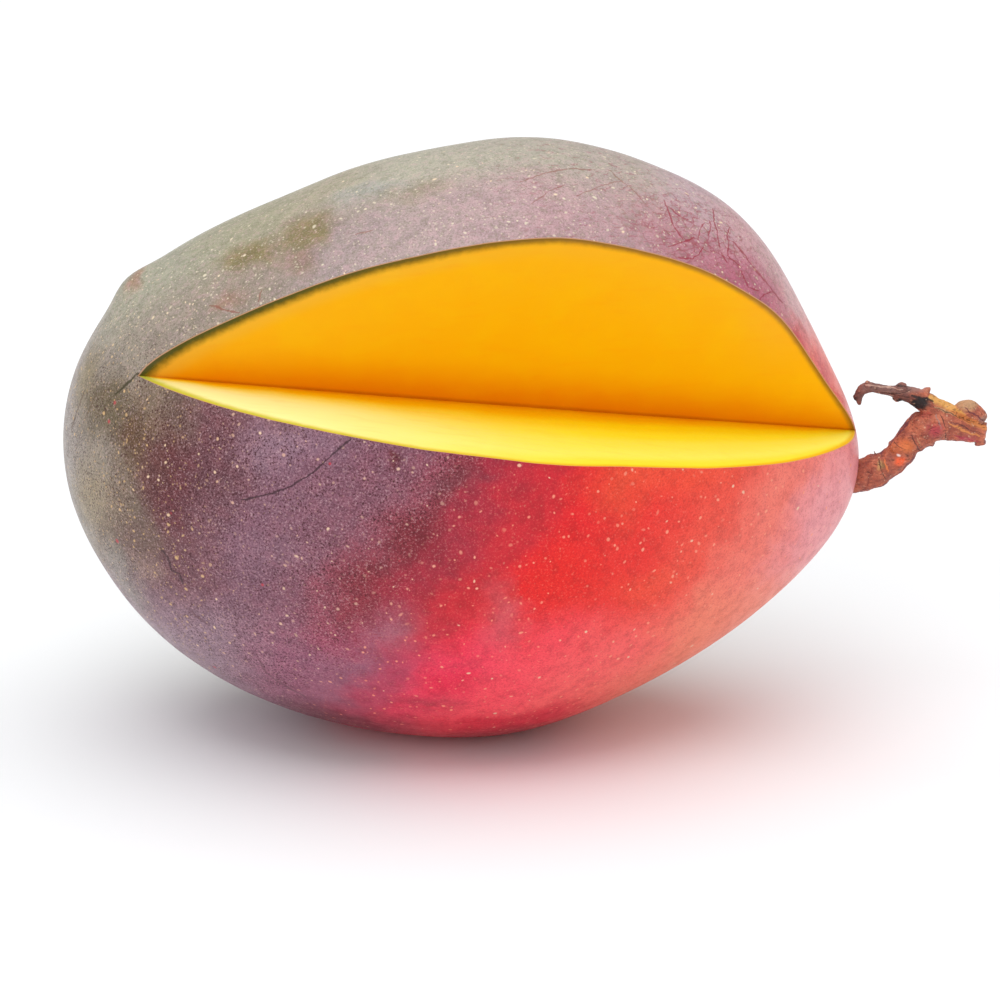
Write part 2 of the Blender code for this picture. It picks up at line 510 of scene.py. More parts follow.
def makeFruit():
    outer = makeFruitBody("mangoSkin", fruit["outerDivisions"], 0.0)
    inner = makeFruitBody("lining", fruit["innerDivisions"], fruit["skinThickness"])
    flesh = placed("mangoFlesh", inner.data.copy())
    flesh.data.name = flesh.name
    tree = BVHTree.FromObject(outer, bpy.context.evaluated_depsgraph_get())
    editMesh(inner, bpy.ops.mesh.flip_normals)
    pick(outer, inner)
    bpy.ops.object.join()
    knife = makeWedge()
    cut(outer, knife)
    cut(flesh, knife)
    remove(knife)
    for body in (outer, flesh):
        measureDepth(body, tree)
        pick(body)
        bpy.ops.object.shade_smooth_by_angle(angle=fruit["smoothAngle"])
        print(body.name, len(body.data.polygons), "faces")
    return outer, flesh


skin, flesh = makeFruit()

# The skin's colours run along the fruit, in bands: front, top by the cut, crest and underneath.
# "along" is the distance towards the stem in millimetres, slanted as the blush is.
skinLook = {
    "palette": {
        "plum": "82586a", "cherry": "cc1c2c", "shellPink": "f49ca2", "dustyRose": "b07884",
        "orchid": "b4607a", "raspberry": "b83e5e", "peach": "fa8468", "moss": "655a3c",
        "olive": "80743c", "amber": "5e4428", "bruise": "663c46", "liver": "601c24", "lilac": "98968c",
        "haze": "a0869a", "bark": "a8643e", "russet": "946c54", "hide": "8c7058", "sky": "a2aeb0",
        "bilberryShade": "64142f", "fuchsia": "e4003c", "ruby": "dc0034", "garnetShade": "a6002e",
        "maroonRed": "7a1628", "tan": "a58a80", "orangeRed": "fa5030", "fire": "ee1404",
        "ink": "321620", "slitShade": "3a3418", "oxblood": "96283a", "rustLine": "8a5040", "bud": "c43a48",
        "brick": "c48a74", "ember": "f05a30", "sand": "988a68", "pinkRed": "cc4a58", "mottle": "7a3034",
        "bloom": "ffe0d0", "greenDrift": "949270", "pinkDrift": "c69aa8", "redPepper": "a8101e",
        "darkPepper": "44161c", "greyPepper": "6c5a50", "blushGrain": "ff9c88", "purpleGrain": "d8b4b8",
        "streak": "cc6470", "hair": "9c5260", "blushSpot": "ff9c80", "purpleSpot": "d8aa98",
        "farSpot": "d4ac78", "topSpot": "e4d8be", "brightSpot": "f0d0b0",
    },
    "bandStart": -65.0,
    "bandLength": 130.0,
    "front": ((-62, "9a9188"), (-56, "92897c"), (-51, "7e6e5c"), (-47, "6f584e"),
              (-42, "724850"), (-35, "7c505c"), (-28, "82586a"), (-15, "845062"), (-9, "924658"),
              (-4, "8e2e3e"), (1, "a4223a"), (10, "cc1c2c"), (18, "ea1219"), (30, "f02a22"),
              (40, "f64e3c"), (51, "fa7868"), (63, "f49ca2")),
    "nearCut": ((-58, "9c9886"), (-46, "988f82"), (-33, "968b7c"), (-20, "a0908e"), (-8, "ac9896"),
                (4, "b29899"), (14, "b59296"), (24, "b19095"), (34, "b07884"),
                (44, "b4607a"), (52, "d05868"), (60, "e09098")),
    "crest": ((-58, "a2a18f"), (-46, "a5a892"), (-33, "a2a285"), (-20, "aaa68c"),
              (-8, "b4b4a0"), (10, "b3b09f"), (26, "b7aca2"), (35, "c0a8ae"),
              (44, "d0a4aa"), (56, "e0b0b2")),
    "back": ((-62, "9a9188"), (-42, "837c62"), (-20, "7f7e5c"), (4, "8a8a58"),
             (24, "a49a68"), (44, "c48a74"), (63, "f49ca2")),
    "under": ((-30, "9a7d8c"), (-8, "985a74"), (3, "985a74"), (10, "b83e5e"),
              (17, "f4385c"), (28, "ff4a5c"), (38, "ff6262"), (50, "fa8468")),
    # between which two distances each part of the skin sets in
    "zones": {"under": (-14.0, -27.0), "behind": (2.0, 26.0), "crest": (-20.0, -6.0),
              "purple": (9.0, -7.0), "top": (10.0, 30.0), "nearSide": (4.0, -2.0)},
    "crestHeights": (12.0, 24.0),  # where the top's colours set in, and how much sooner and
    "slowerBehind": (14.0, 10.0),  # later they do behind
    # the noise of each: scale, detail and roughness
    "noises": {"mottle": (0.45, 6.0, 0.72), "drift": (0.9, 6.0, 0.8), "grain": (3.2, 3.0, 0.8)},
    # small round marks: their spacing, size, and the share of the places that have one
    "buds": (5.2, 0.42, 0.5),
    "spots": (1.3, 0.28, 0.8),
    "fineSpots": (0.75, 0.17, 0.9),
    # centre and reach in millimetres and the share of the reach that is full
    "pepperPatch": ((-39, -30, 3), (17, 16, 12), 0.2),
    # the same, with a strength and a colour
    "nets": (
        ((36, -13, 34), (20, 14, 13), 0.3, 0.6, "oxblood"),
        ((-36, -28, -20), (20, 16, 15), 0.2, 0.4, "bruise"),
    ),
    "patches": (
        ((-55, -18.5, 9), (8, 12, 9), 0.25, 0.85, "moss"),
        ((-50, -24, 6.5), (5.5, 7, 7), 0.2, 0.85, "amber"),
        ((-44, -29, 1), (8, 10, 11), 0.3, 0.7, "liver"),
        ((-36, -33, 3), (9, 9, 9), 0.2, 0.6, "bruise"),
        ((-27, -36, 9.5), (12, 12, 6), 0, 0.45, "haze"),
        ((-27, -36, -9), (12, 12, 5), 0, 0.12, "haze"),
        ((-57, -16, -5), (7, 10, 8), 0.1, 0.7, "sand"),
        ((-52, -17, -17), (7, 12, 9), 0.1, 0.6, "lilac"),
        ((-47.5, -24, -14), (4, 6, 5), 0.1, 0.5, "tan"),
        ((-58, -10, 13), (5, 9, 8), 0, 0.6, "olive"),
        ((-32, -14, 32.5), (9, 7, 5), 0.25, 0.85, "olive"),
        ((-23, -15, 36.5), (8, 7, 5), 0.25, 0.85, "olive"),
        ((-25, -20, 33), (5, 5, 4), 0.1, 0.7, "hide"),
        ((-14, -10, 41.5), (8, 6, 5), 0.1, 0.4, "sky"),
        ((-36, -21.5, 26.5), (4, 4, 3), 0.1, 0.6, "russet"),
        ((-50, -2, 26.5), (3.2, 6, 3.4), 0.2, 0.55, "bark"),
        ((-8, -14, 43), (10, 5, 5), 0, 0.5, "olive"),
        ((-6.7, -42, -3.9), (7, 10, 8), 0.25, 0.75, "maroonRed"),
        ((1, -42, 5), (8, 8, 4), 0.1, 0.5, "bruise"),
        ((-10, -41, 8.3), (1.6, 3, 1.4), 0.3, 0.8, "liver"),
        ((-14, -40, -11), (6, 9, 6), 0.1, 0.4, "maroonRed"),
        ((-10, -38, -19), (7, 10, 6), 0, 0.32, "haze"),
        ((-19, -36, -22), (7, 12, 5), 0, 0.3, "raspberry"),
        ((16, -37, -10), (11, 14, 8), 0.15, 0.75, "fire"),
        ((32, -31, 4), (24, 18, 6), 0.1, 0.75, "orangeRed"),
        ((28, -31, -13), (9, 14, 4), 0, 0.5, "orangeRed"),
        ((6, -38, -16), (6, 10, 12), 0, 0.4, "dustyRose"),
        ((24, -36, 2), (7, 10, 9), 0.1, 0.4, "ember"),
        ((38, -22, -22), (17, 14, 8), 0, 0.6, "peach"),
        ((59, -9, -6), (8, 12, 12), 0, 0.6, "shellPink"),
        ((9, -24, -40), (22, 16, 7), 0.3, 0.95, "ruby"),
        # underneath, partly the skin's own deep red and plum and partly painted shade, darker towards
        # the bottom
        ((8, -16, -44), (26, 14, 5), 0.2, 0.8, "garnetShade"),
        ((-18, -18, -40), (20, 20, 7), 0.2, 0.85, "bilberryShade"),
        ((-6, -30, -34), (9, 12, 4), 0, 0.5, "bilberryShade"),
        ((-2, -34, -29), (7, 10, 5), 0.1, 0.6, "fuchsia"),
        ((44, -15, 26), (9, 9, 8), 0.2, 0.7, "orchid"),
        ((50.8, -11, 19.5), (3, 6, 5), 0.2, 0.65, "cherry"),
        ((56, -6, 12), (2.8, 6, 7), 0.2, 0.6, "pinkRed"),
        # behind, the blush thins out over the green
        ((-24, 30, -6), (26, 20, 20), 0, 0.4, "plum"),
        ((40, 20, 0), (22, 22, 24), 0, 0.35, "brick"),
        ((6, 24, -30), (30, 20, 14), 0, 0.5, "raspberry"),
    ),
    # marks on the side with the cut, by colour: width and strength, then the points along it,
    # to the right and up from the fruit's middle as seen from a little above it
    "strokes": {
        "ink": (
            (0.26, 0.8, (-33, -9.6), (-29.5, -9), (-26, -7.8), (-23, -6.2), (-19.6, -3.3),
             (-16.3, -0.4)),
            (0.26, 0.7, (-45.7, -17), (-44.5, -18.4), (-44.2, -20.4), (-42.9, -21), (-42.2, -22.4)),
        ),
        "amber": (
            (0.2, 0.7, (-58, 7.2), (-59.5, 3.8), (-60.6, 0.5)),
            (0.16, 0.6, (-56, 6.6), (-58, 2.3)),
        ),
        # painted shade: the dark slit that runs on from the left corner of the cut
        "slitShade": (
            (0.36, 0.85, (-49.0, 9.5), (-52.7, 6.4)),
        ),
        # this moss stroke is the slit's painted shade fading out
        "moss": (
            (0.2, 0.5, (-52.7, 6.4), (-55.3, 3.8)),
        ),
        "oxblood": (
            (0.2, 0.75, (31, 36), (32.2, 32), (33.5, 29.8)),
            (0.18, 0.75, (31.4, 28.7), (33.2, 29.3), (35.4, 30.1)),
            (0.17, 0.75, (36, 29.8), (36.6, 31.8), (37.2, 32.6)),
            (0.2, 0.8, (38.7, 35), (38.8, 32.8), (39.1, 30.8), (39.4, 28.7)),
            (0.17, 0.75, (38, 32.9), (38.1, 32.2), (37.7, 30.4)),
            (0.2, 0.8, (32.8, 26.9), (35, 26.7), (36.1, 27.5), (36.8, 28.7)),
            (0.2, 0.75, (41.3, 32.1), (40.6, 30.8), (41, 29.6), (40.7, 27.4), (42.7, 25.8)),
            (0.17, 0.75, (39.5, 28), (40.5, 26.3)),
            (0.24, 0.7, (41.6, 29.9), (44.4, 26.3), (47.3, 22.9), (49.4, 20.3)),
            (0.2, 0.8, (45.4, 20.2), (45.7, 21.1), (46.6, 21.8), (47.7, 22)),
            (0.22, 0.75, (42.6, 25.2), (43.9, 22.6), (45.4, 22)),
            (0.2, 0.7, (32, 34.6), (33.4, 33.5), (34.6, 32.9)),
        ),
        "rustLine": (
            (0.18, 0.6, (9, 38.6), (12.9, 40), (16.5, 40.8), (20.6, 40.7)),
            (0.16, 0.6, (10.6, 35), (13.4, 37), (15.8, 38)),
            (0.16, 0.55, (17.5, 36.3), (21, 37.9), (24.1, 38.9)),
            (0.16, 0.55, (22.5, 40.8), (25.9, 37.8), (28.1, 35.3)),
            (0.26, 0.7, (-38, 19.8), (-35.4, 19), (-33.4, 18.6)),
            (0.2, 0.6, (-30.5, 20.3), (-30.1, 22)),
            (0.2, 0.55, (-15.9, 30.4), (-13.3, 31)),
        ),
        "bruise": (
            (0.26, 0.6, (-31, -34.2), (-29.6, -36.7), (-24, -40.3)),
            (0.3, 0.5, (-42.3, -26), (-38.7, -29)),
        ),
    },
}


# The cut face from the skin inwards: a thin pale line, the green under the skin, then flesh.
fleshLook = {
    # the flesh's orange, then two darker oranges that are painted shade in the corner by the inner edge
    "orange": "ffb600", "edgeShadeOrange": "f89c00", "valleyShade": "c06400",
    # the lower face, from the inner edge out to the rim: painted paler and yellower than the upper
    # face, as painted light on the same flesh, and deeper orange right by the inner edge as painted
    # shade
    "litLowerFace": ((0.0, "ffb400"), (0.1, "ffcc00"), (0.26, "ffea10"), (0.42, "fff830"),
                  (0.58, "fffa58"), (0.78, "fffb68"), (0.92, "fff040"), (1.0, "ffe828")),
    # cream is painted light where the lower face pales towards the far end
    "cream": "ffffb0", "straw": "ecb848",
    "outerLine": "cf9c7c", "oliveBand": "4e4a0e", "brownBand": "a06c10",
    "limeBand": "c9c83c", "goldBand": "f4c018", "fibre": "ffd070", "cloud": "fff0c0",
    "bandReach": (0.5, 0.9),  # in millimetres, at the stem end and at the far end
    "bandStray": 0.75,
}


def makeCutFace():
    group, given, made = newGroup("cutFace", "Place", "Depth", Color="Color", Height="Float")
    place, buried = given["Place"], given["Depth"]
    loose = wander(place, 0.12, 3.0)
    x = partsOf(place)[0]
    farEnd = ease(x, 45.0, -30.0)
    # which face a point lies on: the lower face gets colours painted with light on them
    facing = partsOf(addNode(group, "NewGeometry", {}).outputs["True Normal"])[2]
    litLowerFace = ease(facing, 0.3, 0.6)
    upper, lower = wedgeFaces(wedge["middle"])
    offset = vectorMaths("SUBTRACT", loose, wedge["left"])
    # painted shade: the upper face turns deeper orange towards the inner edge, darkest right in the
    # valley
    above = blend(ease(dot(offset, upper), 9.0, 0.5), fleshLook["orange"], fleshLook["edgeShadeOrange"])
    deep = dot(vectorMaths("SUBTRACT", place, wedge["left"]), upper)
    above = blend(ease(deep, 0.7, 0.0, 0.0, 0.5), above, fleshLook["valleyShade"])
    straw = times(ease(buried, 5.0, 2.0), farEnd, 0.4)
    above = blend(straw, above, fleshLook["straw"])
    front = maths("MAXIMUM", dot(offset, lower), 0.0)
    outward = maths("DIVIDE", front, plus(front, buried))
    below = rampOf(outward, fleshLook["litLowerFace"])
    # painted light: the lower face pales to cream towards the far end
    pale = times(ease(x, 24.0, -36.0), ease(outward, 0.12, 0.5))
    below = blend(pale, below, fleshLook["cream"])
    colour = blend(litLowerFace, above, below)
    fibres = noiseOf(stretched(loose, (0.12, 0.7, 0.7)), 1.0)
    cloud = noiseOf(place, 0.16, 3.0)
    colour = blend(ease(fibres, 0.5, 0.8, 0.0, 0.14), colour, fleshLook["fibre"], "MULTIPLY")
    colour = blend(ease(cloud, 0.4, 0.75, 0.0, 0.16), colour, fleshLook["cloud"], "SOFT_LIGHT")
    # the green under the skin thins out unevenly into the flesh
    stray = minus(noiseOf(place, 0.7, 5.0, Roughness=0.7), 0.5)
    stray = times(stray, plus(farEnd, 0.4), fleshLook["bandStray"])
    near, far = fleshLook["bandReach"]
    reach = plus(near, times(farEnd, far - near))
    share = maths("DIVIDE", plus(buried, stray), reach)
    # the band is partly the green under the skin and partly painted shade and light: darker on the
    # upper face, lighter on the lower
    upperBand = blend(farEnd, fleshLook["brownBand"], fleshLook["oliveBand"])
    lowerBand = blend(farEnd, fleshLook["goldBand"], fleshLook["limeBand"])
    band = blend(litLowerFace, upperBand, lowerBand)
    colour = blend(ease(share, 2.7, 0.5), colour, band)
    line = ease(buried, 0.26, 0.12)
    colour = blend(line, colour, fleshLook["outerLine"])
    group.links.new(colour, made["Color"])
    group.links.new(cloud, made["Height"])
    return group


cutFace = makeCutFace()


def bandColour(along, name):
    start, length = skinLook["bandStart"], skinLook["bandLength"]
    share = maths("DIVIDE", minus(along, start), length)
    return rampOf(share, [((distance - start) / length, code) for distance, code in skinLook[name]])


def zone(distance, name):
    return ease(distance, *skinLook["zones"][name])


def skinNoise(place, name):
    scale, detail, roughness = skinLook["noises"][name]
    return noiseOf(place, scale, detail, Roughness=roughness)


def drawStrokes(place, colour):
    # The marks are straight lines between their points, a little shaky, on the near side only.
    up = view["elevation"]
    seen = nextNode("CombineXYZ", {0: dot(place, (1, 0, 0)),
                                   1: dot(place, (0, sin(up), cos(up)))}).outputs[0]
    near = zone(partsOf(place)[1], "nearSide")
    for name, strokes in skinLook["strokes"].items():
        for width, strength, *points in strokes:
            mark = None
            for start, end in zip(points, points[1:]):
                part = useGroup(scratch, seen, (*start, 0), (*end, 0), width)[0]
                mark = maths("MAXIMUM", mark, part) if mark else part
            colour = blend(times(mark, near, strength), colour, skinLook["palette"][name])
    return colour


def paintGround(place, loose, along):
    # The wide runs of colour, with the patches on them.
    x, y, z = partsOf(loose)
    colour = blend(zone(z, "under"), bandColour(along, "front"), bandColour(along, "under"))
    behind = zone(y, "behind")
    colour = blend(behind, colour, bandColour(x, "back"))
    over = blend(zone(y, "crest"), bandColour(x, "nearCut"), bandColour(x, "crest"))
    # behind, the top's colours run out slowly and at uneven heights
    uneven = ease(noiseOf(place, 0.045, 3.0), 0.3, 0.7, -9.0, 21.0)
    height = plus(z, times(behind, uneven))
    (low, high), (lower, higher) = skinLook["crestHeights"], skinLook["slowerBehind"]
    above = ease(height, minus(low, times(behind, lower)), plus(high, times(behind, higher)))
    colour = blend(above, colour, over)
    return paintPatches(loose, colour, skinLook["patches"], skinLook["palette"])


def paintGrain(place, loose, colour, purple, top, mottle, grain):
    palette = skinLook["palette"]
    colour = blend(ease(mottle, 0.44, 0.72, 0.0, 0.24), colour, palette["mottle"], "MULTIPLY")
    colour = blend(ease(mottle, 0.6, 0.3, 0.0, 0.24), colour, palette["bloom"], "SOFT_LIGHT")
    # the top carries small drifts of green and of pink
    drift = skinNoise(place, "drift")
    for end, strength, name in ((0.62, 0.32, "greenDrift"), (0.38, 0.28, "pinkDrift")):
        mask = times(ease(drift, 0.5, end), top, strength)
        colour = blend(mask, colour, palette[name])
    # fine dark peppering, thick over the darkest skin and thin over the blush
    cloud = noiseOf(place, 0.16, 3.0)
    pepper = times(purple, ease(cloud, 0.35, 0.65, 0.35, 0.8))
    thick = times(useGroup(softPatch, loose, *skinLook["pepperPatch"])[0], 0.6)
    pepper = plus(pepper, thick, clamp=True)
    pepper = times(pepper, minus(1.0, times(top, 0.7)))
    pepper = maths("MULTIPLY", ease(grain, 0.52, 0.62), plus(pepper, 0.3), clamp=True)
    pepperColour = blend(purple, palette["redPepper"], palette["darkPepper"])
    pepperColour = blend(top, pepperColour, palette["greyPepper"])
    colour = blend(pepper, colour, pepperColour)
    pale = times(ease(grain, 0.46, 0.32), plus(times(purple, 0.35), 0.18))
    paleColour = blend(purple, palette["blushGrain"], palette["purpleGrain"])
    return blend(pale, colour, paleColour)


def paintLines(place, loose, colour, x, top, mottle):
    palette = skinLook["palette"]
    streaks = noiseOf(stretched(wander(place, 0.3, 2.0), (1.5, 0.14, 0.14)), 1.0, 3.0)
    mask = times(ease(streaks, 0.55, 0.7), ease(x, 38.0, 58.0, 0.0, 0.22))
    colour = blend(mask, colour, palette["streak"])
    net = stretched(wander(place, 0.5, 2.4, 3.0), (0.45, 0.6, 0.9), -28)
    cells = nextNode("TexVoronoi", {"Vector": net, "Scale": 1.0},
                     feature="DISTANCE_TO_EDGE").outputs["Distance"]
    veins = times(ease(cells, 0.1, 0.0), ease(mottle, 0.4, 0.52))
    for centre, reach, core, strength, name in skinLook["nets"]:
        mask = times(useGroup(softPatch, loose, centre, reach, core)[0], veins, strength)
        colour = blend(mask, colour, palette[name])
    # short dark hairs lie slantwise on the pink of the top
    hairs = noiseOf(stretched(wander(place, 0.6, 1.2), (0.5, 0.9, 5.0), 38), 1.0, 3.0)
    mask = times(ease(hairs, 0.58, 0.66), top, ease(x, -10.0, 22.0, 0.0, 0.5))
    return blend(mask, colour, palette["hair"])


def makeSkinMaterial():
    made, tree, shader = newMaterial("mangoSkin", Roughness=0.42, Specular_IOR_Level=0.25,
                                     Coat_Weight=0.2, Coat_Roughness=0.2)
    palette = skinLook["palette"]
    place = placeInMillimetres(tree)
    loose = wander(wander(place, 0.08, 9.0), 0.3, 4.5, 5.0)
    x, y, z = partsOf(loose)
    slant = minus(ease(x, -45.0, -15.0, 0.3, 0.75), ease(x, 0.0, 35.0, 0.0, 0.25))
    along = minus(x, times(z, slant))
    # how far the purple of the far end reaches, and how dull the top is
    purple, top = zone(along, "purple"), zone(z, "top")
    mottle, grain = skinNoise(place, "mottle"), skinNoise(place, "grain")
    colour = paintGround(place, loose, along)
    colour = paintGrain(place, loose, colour, purple, top, mottle, grain)
    colour = paintLines(place, loose, colour, x, top, mottle)

    buds = useGroup(specks, place, *skinLook["buds"])["Mask"]
    mask = maths("MULTIPLY", times(buds, purple), minus(0.75, top), clamp=True)
    colour = blend(mask, colour, palette["bud"])
    stirred = wander(place, 0.35, 1.5, 1.0)
    spots = useGroup(specks, stirred, *skinLook["spots"])
    fine = useGroup(specks, stirred, *skinLook["fineSpots"])["Mask"]
    share = plus(ease(x, -25.0, -48.0, 0.16, 0.6), times(top, 0.4), clamp=True)
    fine = times(fine, share)
    cream = blend(purple, palette["blushSpot"], palette["purpleSpot"])
    cream = blend(ease(x, -30.0, -46.0), cream, palette["farSpot"])
    cream = blend(top, cream, palette["topSpot"])
    cream = blend(ease(spots["Tone"], 0.82, 1.0, 0.0, 0.8), cream, palette["brightSpot"])
    mask = times(spots["Mask"], ease(spots["Tone"], 0.0, 1.0, 0.3, 1.0))
    colour = blend(mask, colour, cream)
    colour = blend(fine, colour, cream)
    colour = drawStrokes(wander(wander(place, 0.35, 0.6), 1.3, 0.4), colour)

    depth = addNode(tree, "Attribute", {}, attribute_name="underSkin").outputs["Fac"]
    rim = useGroup(cutFace, place, depth)["Color"]
    colour = blend(ease(depth, 0.02, 0.06), colour, rim)
    rough = plus(ease(mottle, 0.3, 0.7, 0.36, 0.5), times(top, 0.06))
    height = plus(times(spots["Mask"], 0.9), fine)
    for bumps, rise in ((grain, 0.5), (mottle, 1.6)):
        height = plus(height, times(bumps, rise))
    finish(shader, colour, rough, height, 0.35, 0.1)
    return made


def makeFleshMaterial():
    made, tree, shader = newMaterial("mangoFlesh", Roughness=0.36, Specular_IOR_Level=0.2)
    place = placeInMillimetres(tree)
    depth = addNode(tree, "Attribute", {}, attribute_name="underSkin").outputs["Fac"]
    face = useGroup(cutFace, place, depth)
    grain = noiseOf(place, 1.4, 3.0)
    rough = ease(grain, 0.35, 0.65, 0.32, 0.46)
    height = plus(face["Height"], times(grain, 0.25))
    finish(shader, face["Color"], rough, height, 0.12, 0.2)
    return made


for piece, slotName, material in ((skin, "skin", makeSkinMaterial()),
                                  (flesh, "flesh", makeFleshMaterial())):
    piece.data.materials.clear()
    piece.data.materials.append(material)
    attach(piece, "root")
    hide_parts("mango_fruit")
print("fruit coloured")

# The woody fork that the fruit was picked with. Each limb is points down its middle with the
# radius there, in millimetres round the middle of the fruit.
stem = {
    "limbs": {
        "stalk": ((59.9, 0, -7.4, 2.05), (62.4, 0, -6.8, 2.3), (64.7, -0.1, -5.9, 2.5),
                  (66.9, -0.2, -4.8, 2.3), (68.9, -0.1, -3.1, 2.15), (70.8, 0.1, -0.7, 2.3),
                  (72.9, 0.2, 1.1, 2.75), (75.5, 0.2, 1.8, 2.5), (78.6, 0.1, 1.3, 2),
                  (82.5, 0, 0.5, 1.6)),
        "twig": ((75.6, 0.2, 3.6, 1.5), (73.6, 0.2, 5.1, 1.7), (71.8, 0, 6.2, 1.5),
                 (69.9, -0.2, 7, 1.25), (67.9, -0.3, 7.4, 0.95), (65.9, -0.3, 7.7, 0.75),
                 (64.1, -0.2, 8, 0.85), (62.8, -0.1, 7.3, 0.75), (62.3, 0, 5.8, 0.55)),
        "bareWood": ((73, 0.4, 5.2, 1.1), (75.6, 0.4, 4.5, 1.2), (78.4, 0.3, 3.2, 1.1),
                     (81.4, 0.2, 1.6, 0.9)),
        "budScar": ((78, 0.1, 3.9, 1), (79.4, 0.1, 4.3, 1.6), (80.9, 0, 3.6, 1.45),
                    (82.1, 0, 2.5, 0.95)),
        "leftNub": ((62.6, -0.1, 6.6, 0.6), (62, -0.1, 6.4, 0.4), (61.7, -0.1, 6.3, 0.28)),
        "lowNub": ((62.5, -0.1, 6, 0.55), (62.6, -0.2, 5.5, 0.4), (62.7, -0.2, 5.2, 0.3)),
        "kneeNub": ((64, -0.2, 8.4, 0.6), (63.7, -0.2, 8.9, 0.35), (63.6, -0.2, 9.1, 0.2)),
        "node": ((68.4, -0.5, 7.6, 0.7), (69, -0.6, 7.9, 0.95), (69.8, -0.6, 7.9, 0.7)),
        "underNode": ((68, -0.3, 6.5, 0.45), (68.5, -0.3, 6.2, 0.5), (69.2, -0.3, 6.2, 0.4)),
        "snag": ((72.6, 0, 7, 0.7), (73.3, 0, 7.5, 0.45), (73.7, 0, 7.9, 0.15)),
        "tipLip": ((81.2, -0.2, -0.6, 0.9), (82.3, -0.2, -1, 0.6), (82.7, -0.2, -1.2, 0.3)),
        "thorn": ((65.6, -0.3, -3.6, 0.3), (65.3, -0.3, -2.9, 0.17), (65.05, -0.3, -2.3, 0.06)),
    },
    "sides": 28,
    "ringsPerStretch": 8,
    # swollen rings round the stalk: how far along it, how high and how long, in millimetres
    "collars": ((0.16, 0.18, 0.035), (0.27, 0.28, 0.03), (0.40, 0.14, 0.02), (0.475, 0.34, 0.022),
                (0.56, 0.16, 0.02), (0.665, 0.3, 0.02), (0.72, -0.2, 0.02), (0.9, 0.14, 0.03)),
    "unevenness": 0.09,
    "lumpPitch": (0.45, 1.3),  # along a limb and round it
    "collarWobble": (0.012, 1.5),
    "voxel": 0.14,
    "coarseBark": (1.5, 0.36),  # the size of its lumps and how far they stand up
    "fineBark": (0.4, 0.16),
}


def smoothStations(route, perStretch):
    last = len(route) - 1
    stations = []
    for index in range(last):
        around = [Vector(route[max(0, min(last, index + step))]) for step in (-1, 0, 1, 2)]
        stations += [curveBetween(around, step / perStretch) for step in range(perStretch)]
    return stations + [Vector(route[last])]


def sweepLimb(name, route):
    stations = smoothStations([Vector(point) for point in route], stem["ringsPerStretch"])
    (lumpsAlong, lumpsRound), (far, pitch) = stem["lumpPitch"], stem["collarWobble"]
    side = Vector((0, 1, 0))
    rings = []
    for index, station in enumerate(stations):
        middle, radius = station.xyz, station.w
        before = stations[max(index - 1, 0)].xyz
        along = (stations[min(index + 1, len(stations) - 1)].xyz - before).normalized()
        side = (side - along * side.dot(along)).normalized()
        up = along.cross(side)
        share = index / (len(stations) - 1)
        ring = []
        for corner in range(stem["sides"]):
            turn = 2 * pi * corner / stem["sides"]
            outward = side * cos(turn) + up * sin(turn)
            lump = noise.noise(middle * lumpsAlong + outward * lumpsRound)
            reach = radius * (1 + stem["unevenness"] * lump)
            if name == "stalk":
                wobble = far * noise.noise(outward * pitch + Vector((5, 0, 0)))
                for place, rise, length in stem["collars"]:
                    reach += rise * 2.0 ** -(((share + wobble - place) / length) ** 2)
            ring.append(middle + outward * reach)
        rings.append(ring)
    return loft(name, rings)


def makeStem():
    limbs = [sweepLimb(name, route) for name, route in stem["limbs"].items()]
    fork = limbs[0]
    pick(fork, *limbs[1:])
    bpy.ops.object.join()
    fork.name = fork.data.name = "mangoStem"
    applyModifier(fork, "REMESH", mode="VOXEL", voxel_size=stem["voxel"] * mm)
    applyModifier(fork, "SMOOTH", factor=0.5, iterations=2)
    for label, (size, rise) in (("coarse", stem["coarseBark"]), ("fine", stem["fineBark"])):
        bark = bpy.data.textures.new(label + "Bark", "CLOUDS")
        bark.noise_scale = size * mm
        bark.noise_depth = 2
        applyModifier(fork, "DISPLACE", texture=bark, strength=rise * mm, mid_level=0.5)
    pick(fork)
    bpy.ops.object.shade_smooth()
    print(fork.name, len(fork.data.polygons), "faces")
    return fork


